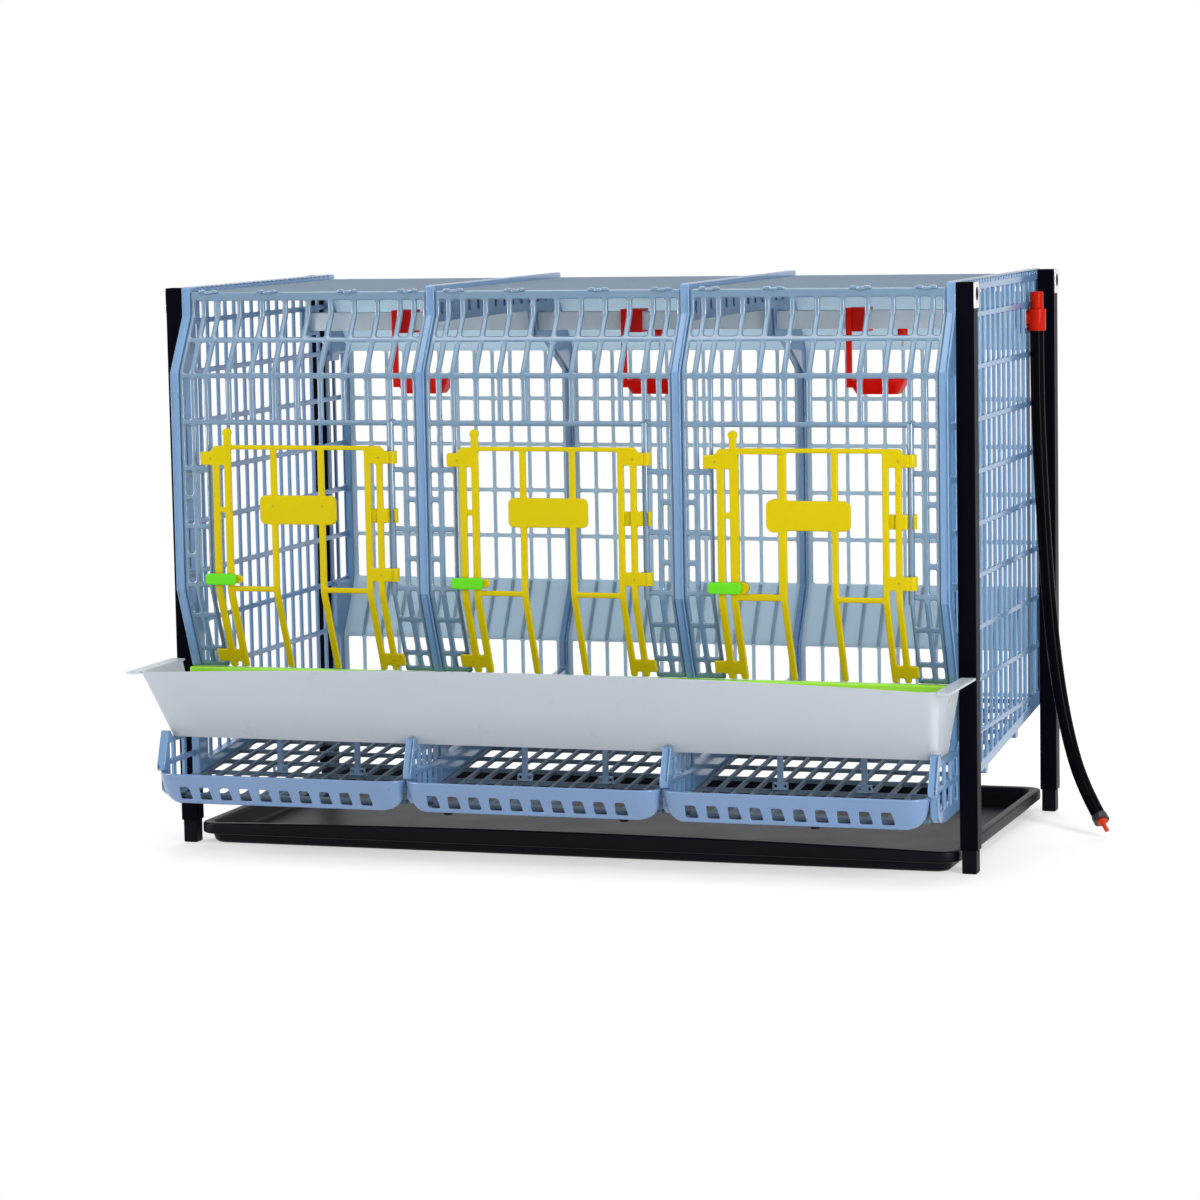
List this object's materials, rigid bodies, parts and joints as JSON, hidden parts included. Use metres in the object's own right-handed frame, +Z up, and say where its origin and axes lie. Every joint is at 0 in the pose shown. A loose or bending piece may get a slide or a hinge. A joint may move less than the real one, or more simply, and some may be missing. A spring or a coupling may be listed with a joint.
{
  "type": "layer chicken cage",
  "caption": "Row of moulded plastic hen cells on steel posts, with front doors, a lift-off feed trough, a drinking line, a sloping egg floor and a sliding manure tray.",
  "frame": {"origin": "on the ground under the middle of the cage's own box, the hose left out", "axes": "+X along the row of cells to the hose end, +Y to the back, +Z up"},
  "size_m": [1.0464, 0.6254, 0.647],
  "materials": {
    "blue_plastic": "satin",
    "grey_blue_plastic": "satin",
    "slate_plastic": "satin",
    "yellow_plastic": "gloss",
    "green_plastic": "gloss",
    "lime_plastic": "gloss",
    "white_plastic": "gloss",
    "red_plastic": "gloss",
    "orange_plastic": "gloss",
    "black_plastic": "satin",
    "black_paint": "semi-gloss",
    "zinc": "bright",
    "hose_rubber": "satin"
  },
  "bodies": {
    "cage": {"post_front_left": "black_paint", "post_front_right": "black_paint", "post_rear_left": "black_paint", "post_rear_right": "black_paint", "post_foot_plugs": "black_plastic", "lip_plugs": "black_plastic", "hose_collar": "black_plastic", "post_joining_plates": "zinc", "side_panel_left": "blue_plastic", "side_panel_right": "blue_plastic", "partition_frame_1": "blue_plastic", "partition_frame_2": "blue_plastic", "sill_legs": "blue_plastic", "front_panel_1": "blue_plastic", "front_panel_2": "blue_plastic", "front_panel_3": "blue_plastic", "back_panel_1": "blue_plastic", "back_panel_2": "blue_plastic", "back_panel_3": "blue_plastic", "egg_lip_1": "blue_plastic", "egg_lip_2": "blue_plastic", "egg_lip_3": "blue_plastic", "roof_panel_1": "grey_blue_plastic", "roof_panel_2": "grey_blue_plastic", "roof_panel_3": "grey_blue_plastic", "floor_grid_1": "slate_plastic", "floor_grid_2": "slate_plastic", "floor_grid_3": "slate_plastic", "feed_sill": "lime_plastic", "water_pipe": "white_plastic", "pipe_end_cap": "red_plastic", "drinker_cup_1": "red_plastic", "drinker_cup_2": "red_plastic", "drinker_cup_3": "red_plastic", "nipple_bodies": "red_plastic", "inlet_elbow": "orange_plastic", "elbow_cap": "orange_plastic", "hose_plug": "orange_plastic", "inlet_hose": "hose_rubber"},
    "door_1": {"door_1": "yellow_plastic", "latch_pin_1": "yellow_plastic"},
    "latch_1": {"latch_1": "green_plastic"},
    "nipple_pin_1": {"nipple_pin_1": "zinc"},
    "door_2": {"door_2": "yellow_plastic", "latch_pin_2": "yellow_plastic"},
    "latch_2": {"latch_2": "green_plastic"},
    "nipple_pin_2": {"nipple_pin_2": "zinc"},
    "door_3": {"door_3": "yellow_plastic", "latch_pin_3": "yellow_plastic"},
    "latch_3": {"latch_3": "green_plastic"},
    "nipple_pin_3": {"nipple_pin_3": "zinc"},
    "trough": {"feed_trough": "white_plastic"},
    "manure_tray": {"manure_tray": "black_plastic"}
  },
  "joints": [
    {"name": "door_1_hinge", "type": "hinge", "parent": "cage", "child": "door_1", "pos_m": [-0.188, -0.20833, 0.39], "axis": [0, 0, 1], "range_deg": [0, 28]},
    {"name": "latch_1_turn", "type": "hinge", "parent": "door_1", "child": "latch_1", "pos_m": [-0.382, -0.22063, 0.3155], "axis": [0, 1, 0], "range_deg": [0, 90]},
    {"name": "nipple_pin_1_press", "type": "slide", "parent": "cage", "child": "nipple_pin_1", "axis": [0, 0, 1], "range_m": [0, 0.0015]},
    {"name": "door_2_hinge", "type": "hinge", "parent": "cage", "child": "door_2", "pos_m": [0.112, -0.20833, 0.39], "axis": [0, 0, 1], "range_deg": [0, 28]},
    {"name": "latch_2_turn", "type": "hinge", "parent": "door_2", "child": "latch_2", "pos_m": [-0.082, -0.22063, 0.3155], "axis": [0, 1, 0], "range_deg": [0, 90]},
    {"name": "nipple_pin_2_press", "type": "slide", "parent": "cage", "child": "nipple_pin_2", "axis": [0, 0, 1], "range_m": [0, 0.0015]},
    {"name": "door_3_hinge", "type": "hinge", "parent": "cage", "child": "door_3", "pos_m": [0.412, -0.20833, 0.39], "axis": [0, 0, 1], "range_deg": [0, 28]},
    {"name": "latch_3_turn", "type": "hinge", "parent": "door_3", "child": "latch_3", "pos_m": [0.218, -0.22063, 0.3155], "axis": [0, 1, 0], "range_deg": [0, 90]},
    {"name": "nipple_pin_3_press", "type": "slide", "parent": "cage", "child": "nipple_pin_3", "axis": [0, 0, 1], "range_m": [0, 0.0015]},
    {"name": "trough_lift", "type": "slide", "parent": "cage", "child": "trough", "axis": [0, -0.4472, 0.8944], "range_m": [0, 0.36]},
    {"name": "tray_slide", "type": "slide", "parent": "cage", "child": "manure_tray", "axis": [0, -1, 0], "range_m": [0, 0.4]}
  ]
}
